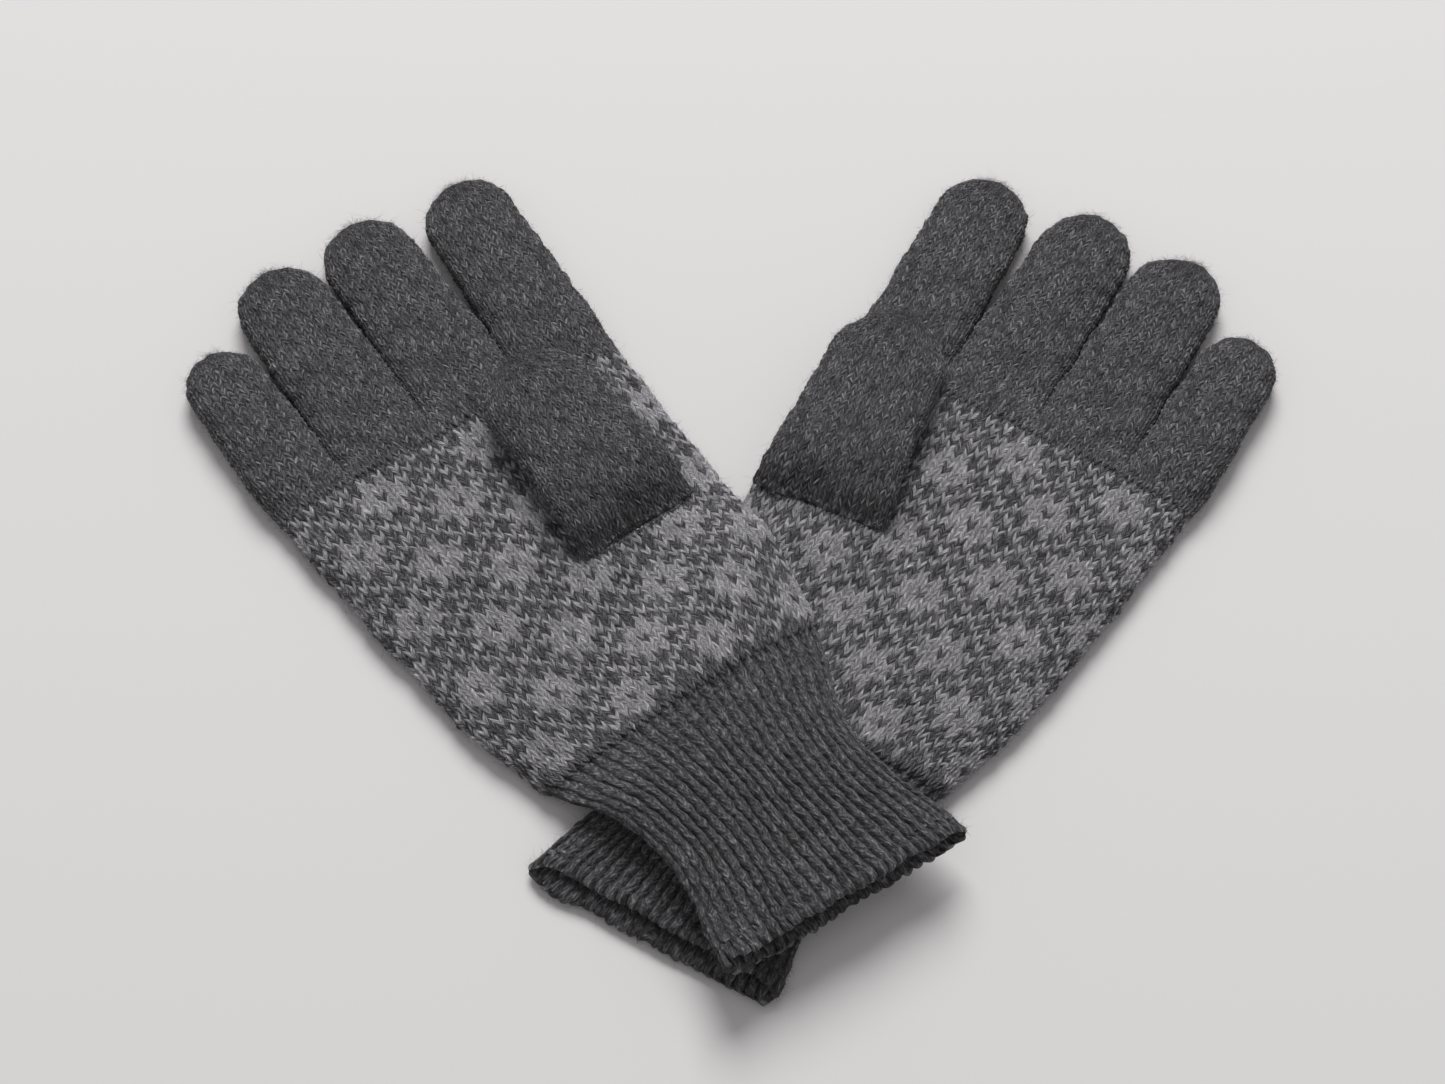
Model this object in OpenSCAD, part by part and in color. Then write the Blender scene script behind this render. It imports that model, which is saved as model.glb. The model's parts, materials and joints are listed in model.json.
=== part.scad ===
// A pair of knitted wool gloves, lying palm up with their cuffs crossed.
// Each glove is a flat hollow tube of fabric. In a glove's own frame the hem is at y = 0,
// the fingers point along +y, the thumb is on the +x side and the palm faces +z.
// The left glove lies flat on z = 0 and is the mirror image of the right one, whose cuff
// rides up over it. The origin is under the left glove's cuff, where the two cross.

/* [Cuff] */
// Hem to the first patterned row
cuff_len = 71; // [64:1:80]
// Height of the cast-on hem band
hem_len = 5; // [4:0.5:7]
// Flat width of the mouth
hem_w = 75; // [66:1:84]
// Flat width at the narrowest rib
waist_w = 62; // [54:1:70]
// Flat width where the ribs end
wrist_w = 86; // [78:1:94]
// Thickness of the ribbed fabric
rib_t = 2.1; // [1.6:0.1:2.5]

/* [Hand] */
// Height of the patterned hand, from the cuff to the plain band
pattern_len = 109; // [98:1:124]
// Height of the plain band between the pattern and the finger roots
base_len = 13; // [10:0.5:16]
// Thickness of the two-yarn patterned fabric
pattern_t = 1.9; // [1.5:0.1:2.3]
// Height of the crown of the lying glove
glove_h = 9.2; // [8.6:0.1:11]

/* [Fingers] */
// Width of the index finger
index_w = 28.5; // [24:0.5:32]
// Width of the middle finger
middle_w = 29; // [24:0.5:32]
// Width of the ring finger
ring_w = 28.5; // [24:0.5:32]
// Width of the little finger
little_w = 23.5; // [20:0.5:27]
// Length of the index finger
index_len = 61.5; // [52:0.5:72]
// Length of the middle finger
middle_len = 64.5; // [54:0.5:76]
// Length of the ring finger
ring_len = 63; // [53:0.5:74]
// Length of the little finger
little_len = 46; // [40:0.5:55]
// Height of a lying finger
finger_h = 8.6; // [8.2:0.1:10]
// Thickness of the plain fabric
plain_t = 1.7; // [1.4:0.1:2]

/* [Thumb] */
// Width of the thumb
thumb_w = 36.5; // [31:0.5:42]
// Length of the thumb
thumb_len = 64.5; // [54:0.5:74]
// Height of the lying thumb
thumb_h = 8.6; // [8.2:0.1:10]
// How far the lying thumb's tip stops short of the finger roots
thumb_short = 2; // [1.5:0.5:8]
// Length of the opening in the palm under the thumb
slit_len = 28; // [24:0.5:34]
// Height of the opening in the palm
slit_h = 6.6; // [6:0.2:8]

/* [Layout] */
// Turn of the right glove about the crossing
right_turn = 32; // [26:1:38]
// Turn of the left glove about the crossing
left_turn = -29; // [-35:1:-24]
// Thumb opening of the right glove to the crossing
right_reach = 84.5; // [80:0.5:92]
// Thumb opening of the left glove to the crossing
left_reach = 80.5; // [76:0.5:88]

/* [Hidden] */

plain = "#4b4c50";
pattern = "#7d7c7e";
ribbed = "#47484c";

joint_gap = 0.4;     // clear space between a finger's root and the band it swings on
finger_gap = 0.7;    // clear space between neighbouring fingers
rest_gap = 0.6;      // clear space between the right glove and the left one under it
seam = 0.02;         // space between two pieces of one glove

rim_w = 1.9;         // width of the picked-up edge round the thumb opening

hand_len = pattern_len + base_len;
knuckle_y = cuff_len + hand_len;
thumb_y = knuckle_y - thumb_short - thumb_len;
waist_y = cuff_len * 0.52;
right_cross = thumb_y - right_reach;
left_cross = thumb_y - left_reach;
edge_z = 0.4;        // height of the side fold, as a share of the crown
fold_w = 7;          // width of the rounded underside at a side fold
crown_power = 0.77;  // below 1, so that the crown is flatter than an ellipse

// The hand leans away from the thumb, because the thumb side hangs straight.
hem_shift = 3.2;
lean = 0.094;
function centre_x(y) = hem_shift - lean * y;

// Width of the four fingers side by side, which is the width of the hand at their roots
knuckle_w = index_w + middle_w + ring_w + little_w + 3 * finger_gap;

widths = [[0, hem_w], [waist_y, waist_w], [cuff_len, wrist_w],
          [cuff_len + hand_len * 0.21, knuckle_w * 0.885],
          [cuff_len + hand_len * 0.52, knuckle_w * 0.95], [knuckle_y, knuckle_w]];

// Value at y of a smooth curve through the [y, value] pairs of a table
function slope(t, i) = let (a = max(i - 1, 0), b = min(i + 1, len(t) - 1))
    (t[b][1] - t[a][1]) / (t[b][0] - t[a][0]);
function span(t, y, i = 0) = i >= len(t) - 2 || y <= t[i + 1][0] ? i : span(t, y, i + 1);
function hermite(t, y) =
    let (i = span(t, y), d = t[i + 1][0] - t[i][0], s = (y - t[i][0]) / d)
    t[i][1] * (1 + 2 * s) * pow(1 - s, 2) + slope(t, i) * d * s * pow(1 - s, 2)
    + t[i + 1][1] * s * s * (3 - 2 * s) + slope(t, i + 1) * d * s * s * (s - 1);
function width_at(y) = hermite(widths, min(max(y, 0), knuckle_y));
function smooth(s) = let (c = min(max(s, 0), 1)) c * c * (3 - 2 * c);

// How far the right glove is lifted at a point of its own frame. It climbs over the
// thumb-side edge of the left glove, from climb_out beside it to climb_in inside it.
climb_out = 17;
climb_in = 13;
function turned(p, a) = [p.x * cos(a) - p.y * sin(a), p.x * sin(a) + p.y * cos(a)];
function in_left(p) =
    let (row = turned([p.x, p.y - right_cross], right_turn), q = turned(row, -left_turn))
    [-q.x, q.y + left_cross];
function inside_left(p) =
    let (q = in_left(p), y = min(max(q.y, 0), knuckle_y))
    centre_x(y) + width_at(y) / 2 - q.x;
function lift(p) =
    (glove_h + rest_gap) * smooth((inside_left(p) + climb_out) / (climb_out + climb_in));

// One cross-section of a flat tube: a crown over a level underside with round folds.
// half is half its width, and low and high are where its underside and its crown lie.
CROWN = 12;
FOLD = 3;
FLAT = 7;
RING = CROWN + 2 * FOLD + FLAT;
function section(half, low, mid, high, fold) = concat(
    [for (i = [0 : CROWN]) let (a = 180 * i / CROWN, c = cos(a))
        [half * sign(c) * pow(abs(c), crown_power), mid + (high - mid) * sin(a)]],
    [for (i = [1 : FOLD]) let (a = 90 * i / FOLD)
        [-(half - fold) - fold * cos(a), mid - (mid - low) * sin(a)]],
    [for (i = [1 : FLAT - 1]) [(half - fold) * (2 * i / FLAT - 1), low]],
    [for (i = [0 : FOLD - 1]) let (a = 90 - 90 * i / FOLD)
        [(half - fold) + fold * cos(a), mid - (mid - low) * sin(a)]]);

// Triangles between ring a and ring b, and between a ring and one point
function band(a, b) = [for (i = [0 : RING - 1]) let (j = (i + 1) % RING)
    each [[a + i, b + j, b + i], [a + i, a + j, b + j]]];
function fan(a, point) = [for (i = [0 : RING - 1]) [a + i, a + (i + 1) % RING, point]];
function bands(first, count) = [for (k = [0 : count - 2])
    each band(first + k * RING, first + (k + 1) * RING)];
function flipped(faces) = [for (f = faces) [f[0], f[2], f[1]]];
function flat(lists) = [for (l = lists) each l];

// A wall between two stacks of rings, open at both ends
module sleeve(outer, inner) {
    n = len(outer);
    start = n * RING;
    polyhedron(
        points = concat(flat(outer), flat(inner)),
        faces = concat(bands(0, n), flipped(bands(start, n)),
                       band(start, 0), band((n - 1) * RING, start + (n - 1) * RING)));
}

// The same, closed at its far end by a point on each stack
module closed_sleeve(outer, inner, outer_tip, inner_tip) {
    n = len(outer);
    start = n * RING;
    polyhedron(
        points = concat(flat(outer), flat(inner), [outer_tip, inner_tip]),
        faces = concat(bands(0, n), flipped(bands(start, n)), band(start, 0),
                       fan((n - 1) * RING, 2 * start),
                       flipped(fan(start + (n - 1) * RING, 2 * start + 1))));
}

// The glove's tube between two rows, with its wall grown inwards
function tube_ring(y, inset, raised) = [
    for (p = section(width_at(y) / 2 - inset, inset, glove_h * edge_z,
                     glove_h - inset, fold_w - inset / 2))
    let (x = centre_x(y) + p.x)
    [x, y, p.y + (raised ? lift([x, y]) : 0)]];
module tube(from, to, rows, wall, raised) {
    ys = [for (i = [0 : rows]) from + seam + (to - from - 2 * seam) * i / rows];
    sleeve([for (y = ys) tube_ring(y, 0, raised)],
           [for (y = ys) tube_ring(y, wall, raised)]);
}

// The hem, the cuff, the patterned hand and the plain band that carries the fingers
module hem(raised) color(ribbed)
    tube(0, hem_len, 1, rib_t, raised);
module cuff(raised) color(ribbed)
    tube(hem_len, cuff_len, 9, rib_t, raised);
module finger_base(raised) color(plain)
    tube(knuckle_y - base_len, knuckle_y, 2, plain_t, raised);
module whole_hand(raised)
    tube(cuff_len, cuff_len + pattern_len, 13, pattern_t, raised);

// The column of space over the thumb opening, which is a slot with round ends.
// It is cut through the palm only, and grown makes it wider all round.
module slit_column(place, grown)
    translate([place[0], thumb_y + slit_h / 2, glove_h / 2])
        rotate([0, 0, place[2]])
            linear_extrude(glove_h) {
                square([slit_len - slit_h, slit_h + 2 * grown], center = true);
                for (side = [-1, 1])
                    translate([side * (slit_len - slit_h) / 2, 0])
                        circle(slit_h / 2 + grown, $fn = 48);
            }
module hand(place, raised) color(pattern)
    difference() {
        whole_hand(raised);
        slit_column(place, rim_w);
    }
module thumb_rim(place, raised) color(plain)
    difference() {
        intersection() {
            whole_hand(raised);
            slit_column(place, rim_w - seam);
        }
        slit_column(place, 0);
    }

// A finger or thumb in its own frame: its root is at y = 0, and it points along +y.
// It drifts away from the thumb's side by sway for each unit of length. Its root may
// slope, with the underside set back by root_slope for each unit of height.
TIP_ANGLES = [0, 22, 43, 60, 73, 83];
function digit_ring(w, h, inset, y, a, sway, root_slope) =
    let (share = cos(a), tall = 0.55 + 0.45 * share, mid = h * edge_z,
         half = w / 2 * pow(share, 0.9) - inset * max(share, 0.2))
    [for (p = section(half, mid + (inset - mid) * tall, mid,
                      mid + (h - inset - mid) * tall, min(fold_w * 0.7, half * 0.6)))
        [p.x - sway * y, y + root_slope * (h - p.y), p.y]];
function digit_rings(w, length, h, inset, sway, root_slope) =
    let (reach = w / 2, straight = length - reach)
    concat([digit_ring(w, h, inset, 0, 0, sway, root_slope),
            digit_ring(w, h, inset, straight / 2, 0, sway, 0)],
           [for (a = TIP_ANGLES)
               digit_ring(w, h, inset, straight + (reach - inset) * sin(a), a, sway, 0)]);
module digit(w, length, h, sway = 0, root_slope = 0) color(plain)
    closed_sleeve(digit_rings(w, length, h, 0, sway, root_slope),
                  digit_rings(w, length, h, plain_t, sway, root_slope),
                  [-sway * length, length, h * edge_z],
                  [-sway * (length - plain_t), length - plain_t, h * edge_z]);

// Finger sizes from the thumb side: [width, length, drift away from the thumb]
FINGERS = [[index_w, index_len, -0.02], [middle_w, middle_len, 0.04],
           [ring_w, ring_len, 0.04], [little_w, little_len, 0.055]];
function widths_before(i) = i == 0 ? 0 : FINGERS[i - 1][0] + finger_gap + widths_before(i - 1);
function root_x(i) =
    centre_x(knuckle_y) + knuckle_w / 2 - widths_before(i) - FINGERS[i][0] / 2;
module finger(i)
    translate([root_x(i), knuckle_y + joint_gap, 0])
        digit(FINGERS[i][0], FINGERS[i][1], finger_h, sway = FINGERS[i][2]);

// The thumb lies on the palm, over its opening. Each glove's thumb has its own [x of the
// root, height of its underside there, turn towards the fingers, roll towards the edge].
THUMB_RIGHT = [15.5, glove_h + 0.9, 4.5, 1.5];
THUMB_LEFT = [23, glove_h + 0.4, -4.5, 3];
module thumb(place)
    translate([place[0], thumb_y, place[1]])
        rotate([0, place[3], place[2]])
            digit(thumb_w, thumb_len, thumb_h, root_slope = slit_h / thumb_h);

// The two gloves in the row frame
module right_glove() rotate([0, 0, right_turn]) translate([0, -right_cross, 0]) children();
module left_glove() rotate([0, 0, left_turn]) mirror([1, 0, 0])
    translate([0, -left_cross, 0]) children();

right_glove() hem(true);  // right_hem
right_glove() cuff(true);  // right_cuff
right_glove() hand(THUMB_RIGHT, true);  // right_hand
right_glove() finger_base(true);  // right_finger_base
right_glove() finger(0);  // right_index_finger
right_glove() finger(1);  // right_middle_finger
right_glove() finger(2);  // right_ring_finger
right_glove() finger(3);  // right_little_finger
right_glove() thumb(THUMB_RIGHT);  // right_thumb
right_glove() thumb_rim(THUMB_RIGHT, true);  // right_thumb_rim
left_glove() hem(false);  // left_hem
left_glove() cuff(false);  // left_cuff
left_glove() hand(THUMB_LEFT, false);  // left_hand
left_glove() finger_base(false);  // left_finger_base
left_glove() finger(0);  // left_index_finger
left_glove() finger(1);  // left_middle_finger
left_glove() finger(2);  // left_ring_finger
left_glove() finger(3);  // left_little_finger
left_glove() thumb(THUMB_LEFT);  // left_thumb
left_glove() thumb_rim(THUMB_LEFT, false);  // left_thumb_rim
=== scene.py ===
"""Looks of a pair of knitted wool gloves, lying palm up with their cuffs crossed.

Each glove is worked out in its own frame, in millimetres: the hem is at y = 0, the fingers
point along +y, the thumb is on the +x side and the palm faces +z. Every section of a glove is
a closed skin of knitted stitches on a grid of wales (columns) and courses (rows).
"""

import json
import math

import bpy
import numpy as np
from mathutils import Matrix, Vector


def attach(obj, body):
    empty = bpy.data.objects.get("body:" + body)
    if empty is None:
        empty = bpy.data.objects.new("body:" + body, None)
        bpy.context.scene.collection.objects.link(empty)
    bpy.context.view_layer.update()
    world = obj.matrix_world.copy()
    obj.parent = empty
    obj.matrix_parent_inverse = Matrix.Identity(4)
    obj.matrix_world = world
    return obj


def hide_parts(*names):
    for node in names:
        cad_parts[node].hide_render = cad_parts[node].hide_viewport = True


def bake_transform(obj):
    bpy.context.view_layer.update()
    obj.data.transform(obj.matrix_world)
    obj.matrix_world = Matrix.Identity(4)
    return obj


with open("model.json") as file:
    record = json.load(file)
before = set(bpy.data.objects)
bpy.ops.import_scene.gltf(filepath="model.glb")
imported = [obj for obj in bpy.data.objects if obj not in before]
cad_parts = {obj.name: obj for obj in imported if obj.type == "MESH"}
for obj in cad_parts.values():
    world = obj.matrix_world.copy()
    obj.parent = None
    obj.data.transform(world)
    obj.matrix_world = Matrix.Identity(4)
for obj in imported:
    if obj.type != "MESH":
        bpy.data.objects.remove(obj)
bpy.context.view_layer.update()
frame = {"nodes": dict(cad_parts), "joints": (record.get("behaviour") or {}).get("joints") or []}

MM = 0.001
TABLE_GAP = 0.03        # nothing comes closer to the table than this, in mm
JOINTS = {joint["name"]: joint for joint in frame["joints"]}
FINGERS = ("index", "middle", "ring", "little")

# ---------------------------------------------------------------- the gloves' own frames


def vertices(node):
    """A CAD node's vertices in mm."""
    mesh = frame["nodes"][node].data
    points = np.empty(len(mesh.vertices) * 3)
    mesh.vertices.foreach_get("co", points)
    return points.reshape(-1, 3) / MM


def edges(node):
    """A CAD node's edges, as pairs of vertex numbers."""
    mesh = frame["nodes"][node].data
    ends = np.empty(len(mesh.edges) * 2, dtype=np.int32)
    mesh.edges.foreach_get("vertices", ends)
    return ends.reshape(-1, 2)


def smooth(t):
    """The smooth step 3t^2 - 2t^3 between 0 and 1."""
    t = np.clip(t, 0, 1)
    return t * t * (3 - 2 * t)


def wobble(x, y, size, seed):
    """Gentle unevenness from -1 to 1: the mean of seven sine waves with random directions."""
    random = np.random.default_rng(seed)
    total = 0
    for _ in range(7):
        heading, phase = random.uniform(0, 2 * math.pi, 2)
        length = size * random.uniform(0.7, 1.5)
        run = x * math.cos(heading) + y * math.sin(heading)
        total = total + np.sin(2 * math.pi * run / length + phase)
    return total / 3.5


class Glove:
    """One glove's frame and its outline, both read from the CAD nodes."""

    SHELL = ("hem", "cuff", "hand", "finger_base")

    def __init__(self, side):
        self.side = side
        self.body = f"{side}_glove"
        self.mirror = -1 if side == "left" else 1
        self.seed = 10 if side == "left" else 20
        turn = math.atan2(*reversed(JOINTS[f"{side}_index_curl"]["axis"][:2]))
        self.across = self.mirror * np.array([math.cos(turn), math.sin(turn)])
        self.along = np.array([-math.sin(turn), math.cos(turn)])
        self.hem_at = (vertices(f"{side}_hem")[:, :2] @ self.along).min()
        self.rows, self.low_x, self.high_x = self.outline()
        self.cuff_top = self.node_box("cuff")[1][1]
        self.band_start = self.node_box("finger_base")[0][1]
        self.knuckle = self.node_box("finger_base")[1][1]

    def local(self, points):
        """Row-frame points, in mm, in the glove's own frame."""
        plan = points[..., :2]
        return np.stack([plan @ self.across, plan @ self.along - self.hem_at, points[..., 2]], -1)

    def world(self, points):
        """The glove's own points in metres, lifted where the glove lies on the other, and
        never below the table."""
        x, y, z = points[..., 0], points[..., 1], points[..., 2]
        plan = x[..., None] * self.across + (y + self.hem_at)[..., None] * self.along
        if self.side == "right":
            z = z + lift(plan)
        z = np.maximum(z, TABLE_GAP)
        return np.concatenate([plan, z[..., None]], -1) * MM

    def node_box(self, piece):
        """Lowest and highest corner of one CAD node in the glove's own frame."""
        points = self.local(vertices(f"{self.side}_{piece}"))
        return points.min(0), points.max(0)

    def outline(self):
        """Where the shell's two side folds are, at a row every 4 mm: the least and greatest
        x at which the CAD mesh's edges cross that row."""
        rows = np.arange(0.3, self.local(vertices(f"{self.side}_finger_base"))[:, 1].max(), 4.0)
        low = np.full(len(rows), np.inf)
        high = np.full(len(rows), -np.inf)
        for piece in self.SHELL:
            node = f"{self.side}_{piece}"
            ends = self.local(vertices(node))[edges(node)]
            rise = ends[:, 1, 1] - ends[:, 0, 1]
            ends, rise = ends[abs(rise) > 0.01], rise[abs(rise) > 0.01]
            share = (rows[:, None] - ends[None, :, 0, 1]) / rise
            x = ends[None, :, 0, 0] + share * (ends[:, 1, 0] - ends[:, 0, 0])
            met = (share >= 0) & (share <= 1)
            low = np.minimum(low, np.where(met, x, np.inf).min(1))
            high = np.maximum(high, np.where(met, x, -np.inf).max(1))
        good = np.isfinite(low)
        rows, low, high = rows[good], low[good], high[good]
        kernel = np.array([1, 2, 3, 2, 1]) / 9
        wider = [np.pad(edge, 2, mode="reflect", reflect_type="odd") for edge in (low, high)]
        return rows, *(np.convolve(edge, kernel, "valid") for edge in wider)

    def thumb_place(self, points):
        """Points in the thumb's own frame, carried into the glove's."""
        return points @ self.thumb_turn.T + self.thumb_root

    def centre(self, y):
        """x halfway between the side folds."""
        return (np.interp(y, self.rows, self.low_x) + np.interp(y, self.rows, self.high_x)) / 2

    def half(self, y):
        """Half the distance between the side folds."""
        return (np.interp(y, self.rows, self.high_x) - np.interp(y, self.rows, self.low_x)) / 2


CLIMB_OUT = 17.0    # the right glove starts to climb this far outside the left one's edge
CLIMB_IN = 13.0     # and is fully up this far inside it


def lift(plan):
    """How far the right glove is lifted over a point of the table: a smooth step across the
    thumb-side edge of the left glove."""
    across, along = plan @ LEFT.across, plan @ LEFT.along - LEFT.hem_at
    along = np.clip(along, 0, LEFT.knuckle)
    inside = LEFT.centre(along) + LEFT.half(along) - across
    return FULL_LIFT * smooth((inside + CLIMB_OUT) / (CLIMB_OUT + CLIMB_IN))


LEFT = Glove("left")
RIGHT = Glove("right")
GLOVES = (LEFT, RIGHT)
FULL_LIFT = vertices("right_hem")[:, 2].min()
GLOVE_H = vertices("left_hem")[:, 2].max()
FINGER_H = vertices("left_ring_finger")[:, 2].max()
FOLD_Z = 0.4            # height of a side fold, as a share of the crown
DIGIT_FOLD_Z = 0.66     # the same on a finger or thumb

# ---------------------------------------------------------------- sections

CROWN_POWER = 0.72      # below 1, so that the crown is flatter than an ellipse
SOLE_POWER = 0.3        # close to 0, so that the underside is nearly level
SOLE = 0.7              # a glove's underside is this far above the table, without its stitches
CREST = 0.4             # room left for the stitches at the top
STITCH_ROOM = 0.4       # and at the sides
EDGE_WAVE = 0.5         # how far a side fold wanders, in mm
CROWN_WAVE = 0.35       # how far the crown rises and falls
HEM_WAVE = 0.55         # and how far the hem wanders
RIB_WALL = 2.0          # thickness of the cuff's fabric, in mm
PATTERN_WALL = 1.8      # of the hand's
PLAIN_WALL = 1.6        # of the fingers' and thumbs'
MOUTH_UP = {"left": 2.6, "right": 0.6}      # a mouth gapes: its upper edge is drawn back
MOUTH_DOWN = {"left": 2.8, "right": 1.4}    # and its lower edge stands out, in mm
MOUTH_SAG = {"left": 2.6, "right": 0.8}     # and its crown sinks by this much
CORNER_CURL = 2.2       # the right glove's hem curls up at its little-finger corner
CORNER_FROM = 0.66      # from this far across, as a share of the half width


def section(angle, half, low, high, fold=FOLD_Z):
    """x and z at an angle round a lying tube: over the top x = half cos^p, z = mid + rise sin,
    and underneath a superellipse that is nearly flat."""
    cosine, sine = np.cos(angle), np.sin(angle)
    mid = low + (high - low) * fold
    above = sine >= 0
    power = np.where(above, CROWN_POWER, SOLE_POWER)
    x = half * np.sign(cosine) * abs(cosine) ** power
    z = np.where(above, mid + (high - mid) * sine, mid - (mid - low) * abs(sine) ** SOLE_POWER)
    return x, z


def even_angles(count, half, high):
    """Angles of count points at equal distances over the top of a section, and as many
    underneath it, starting at the thumb-side fold."""
    found = []
    for start in (0, math.pi):
        angle = np.linspace(start, start + math.pi, 20001)
        x, z = section(angle, half, 0.0, high)
        run = np.concatenate([[0], np.cumsum(np.hypot(np.diff(x), np.diff(z)))])
        found.append(np.interp(np.arange(count) / count * run[-1], run, angle))
    return np.concatenate(found)


def shell(glove, y, angle, inset):
    """The glove's tube: its section at each y, between the two side folds, with a gentle
    unevenness in its crown and its edges. Its mouth gapes, which dies away up the cuff."""
    half = glove.half(y) - inset - STITCH_ROOM + EDGE_WAVE * wobble(y, 0, 42, glove.seed)
    x, z = section(angle + 0 * y, half, SOLE + inset, GLOVE_H - CREST - inset)
    x = x + glove.centre(y)
    sine = np.sin(angle) + 0 * y
    z = z + CROWN_WAVE * np.clip(sine, 0, 1) * wobble(x, y, 48, glove.seed + 1)
    mouth = 1 - smooth(y / 16)
    gape = np.where(sine > 0, MOUTH_UP[glove.side], MOUTH_DOWN[glove.side]) * np.sign(sine)
    z = z - MOUTH_SAG[glove.side] * (1 - smooth(y / 38)) * np.clip(sine, 0, 1)
    if glove.side == "right":
        corner = mouth * smooth((glove.centre(y) - x - CORNER_FROM * half) / ((1 - CORNER_FROM) * half))
        z, y = z + CORNER_CURL * corner, y + 0.8 * CORNER_CURL * corner * smooth(sine * 2)
    y = y + (1 - smooth(y / 30)) * gape * smooth(abs(sine) * 1.5)
    y = y + HEM_WAVE * mouth * wobble(x, 9 * sine, 13, glove.seed + 2)
    return np.stack([x, y, z], -1)


# ---------------------------------------------------------------- stitches

RIB_SLANT = 1.0         # how far a rib stitch's legs rise from its middle, in courses
LEG_RELIEF = 0.55       # how far a leg of a plain stitch stands out, in mm
LAP_RISE = 0.3          # rise of a lapping edge, in mm to a course of lap
RIB_RELIEF = 1.3        # how far a rib stands out of the furrows beside it, in mm
RIB_MEAN = 0.55         # the level between rib and furrow, as a share of that


def lap(knit):
    """How far a piece's first courses run back over the piece before it, in courses."""
    return 0.5 * knit.slant * (1 - smooth(knit.v / 2))[:, None]


def lapped(knit, grid):
    """The grid with its plain stitches raised, a little more where it laps its neighbour."""
    return grid + (knit.leg_relief() + LAP_RISE * lap(knit))[..., None] * outward(grid)


class Knit:
    """A grid over wales and courses. Its rows are bent into chevrons, so that the legs of
    each V-shaped stitch lie between its lines. They straighten over the given number of
    courses at each end, or run on if that is 0."""

    def __init__(self, wales, courses, across, up, seed, ends=(1.0, 1.0), slant=1.0):
        self.wales, self.courses, self.ends, self.slant = wales, courses, ends, slant
        self.u = np.arange(wales * across) / across
        self.v = np.arange(courses * up + 1) / up
        self.up = up
        self.fade = self.straighten(self.v)
        self.r = self.bend(self.v)
        random = np.random.default_rng(seed)
        self.plump = np.clip(random.normal(1, 0.16, (courses + 1, wales)), 0.5, 1.5)

    def drop_last_row(self):
        """Leaves the last row to the point that closes a fingertip."""
        self.v, self.r, self.fade = self.v[:-1], self.r[:-1], self.fade[:-1]

    def straighten(self, v):
        """How bent the rows are: 1 inside the piece, falling to 0 at a straight end."""
        near, far = self.ends
        fade = np.ones(len(v))
        if near:
            fade = fade * smooth(v / near)
        if far:
            fade = fade * smooth((self.courses - v) / far)
        return fade[:, None]

    def fade_out(self):
        """1, falling to 0 over the last two courses if they straighten."""
        far = self.ends[1]
        return smooth((self.courses - self.v) / 2.0)[:, None] if far else np.ones((len(self.v), 1))

    def bend(self, v):
        """Where the grid's points lie, in courses."""
        chevron = self.slant * (abs(2 * (self.u % 1) - 1) - 0.5)
        return np.asarray(v, float)[:, None] + self.straighten(np.asarray(v, float)) * chevron

    def stitch(self):
        """The number of each grid point's course and wale."""
        return np.minimum(self.v.astype(int), self.courses)[:, None], self.u.astype(int)[None, :]

    def leg_relief(self):
        """Two round legs to a stitch, with creases between neighbouring legs and courses."""
        leg = (2 * self.u) % 1
        across = np.sqrt(np.clip(1 - (2 * leg - 1) ** 2, 0, 1))
        up = 0.35 + 0.65 * np.sin(math.pi * (self.v % 1)) ** 0.8
        relief = across[None] * up[:, None] * self.plump[self.stitch()]
        return LEG_RELIEF * (0.3 + 0.7 * self.fade) * relief

    def rib_relief(self):
        """One rib to a wale: a broad ridge with narrow furrows, of legs that meet in its middle."""
        u = self.u % 1
        ridge = np.sin(math.pi * u) ** 0.7
        groove = 0.07 * np.exp(-((u - 0.5) / 0.09) ** 2)
        up = 0.9 + 0.1 * np.sin(math.pi * (self.v % 1))
        plump = 0.4 + 0.6 * self.plump[self.stitch()]
        ribs = (ridge - groove)[None] * up[:, None] * plump - RIB_MEAN
        return RIB_RELIEF * (ribs * self.fade_out() + 0.055 * (1 - self.fade_out()))


def uneven(glove, grid):
    """The grid with its stitches shifted a little within the fabric, as no two are alike."""
    x, y = grid[..., 0] + 40 * (grid[..., 2] < 3), grid[..., 1]
    grid = grid.copy()
    grid[..., 0] += 0.24 * wobble(x, y, 5, glove.seed + 60) + 0.35 * wobble(x, y, 17, glove.seed + 61)
    grid[..., 1] += 0.26 * wobble(x, y, 5, glove.seed + 62) + 0.45 * wobble(x, y, 21, glove.seed + 63)
    return grid


def outward(grid):
    """Unit normals of a grid of rings, from its central differences."""
    up = np.gradient(grid, axis=0)
    aside = np.roll(grid, -1, axis=1) - np.roll(grid, 1, axis=1)
    normal = np.cross(up, aside)
    return normal / np.maximum(np.linalg.norm(normal, axis=-1, keepdims=True), 1e-9)


# ---------------------------------------------------------------- meshes


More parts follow.
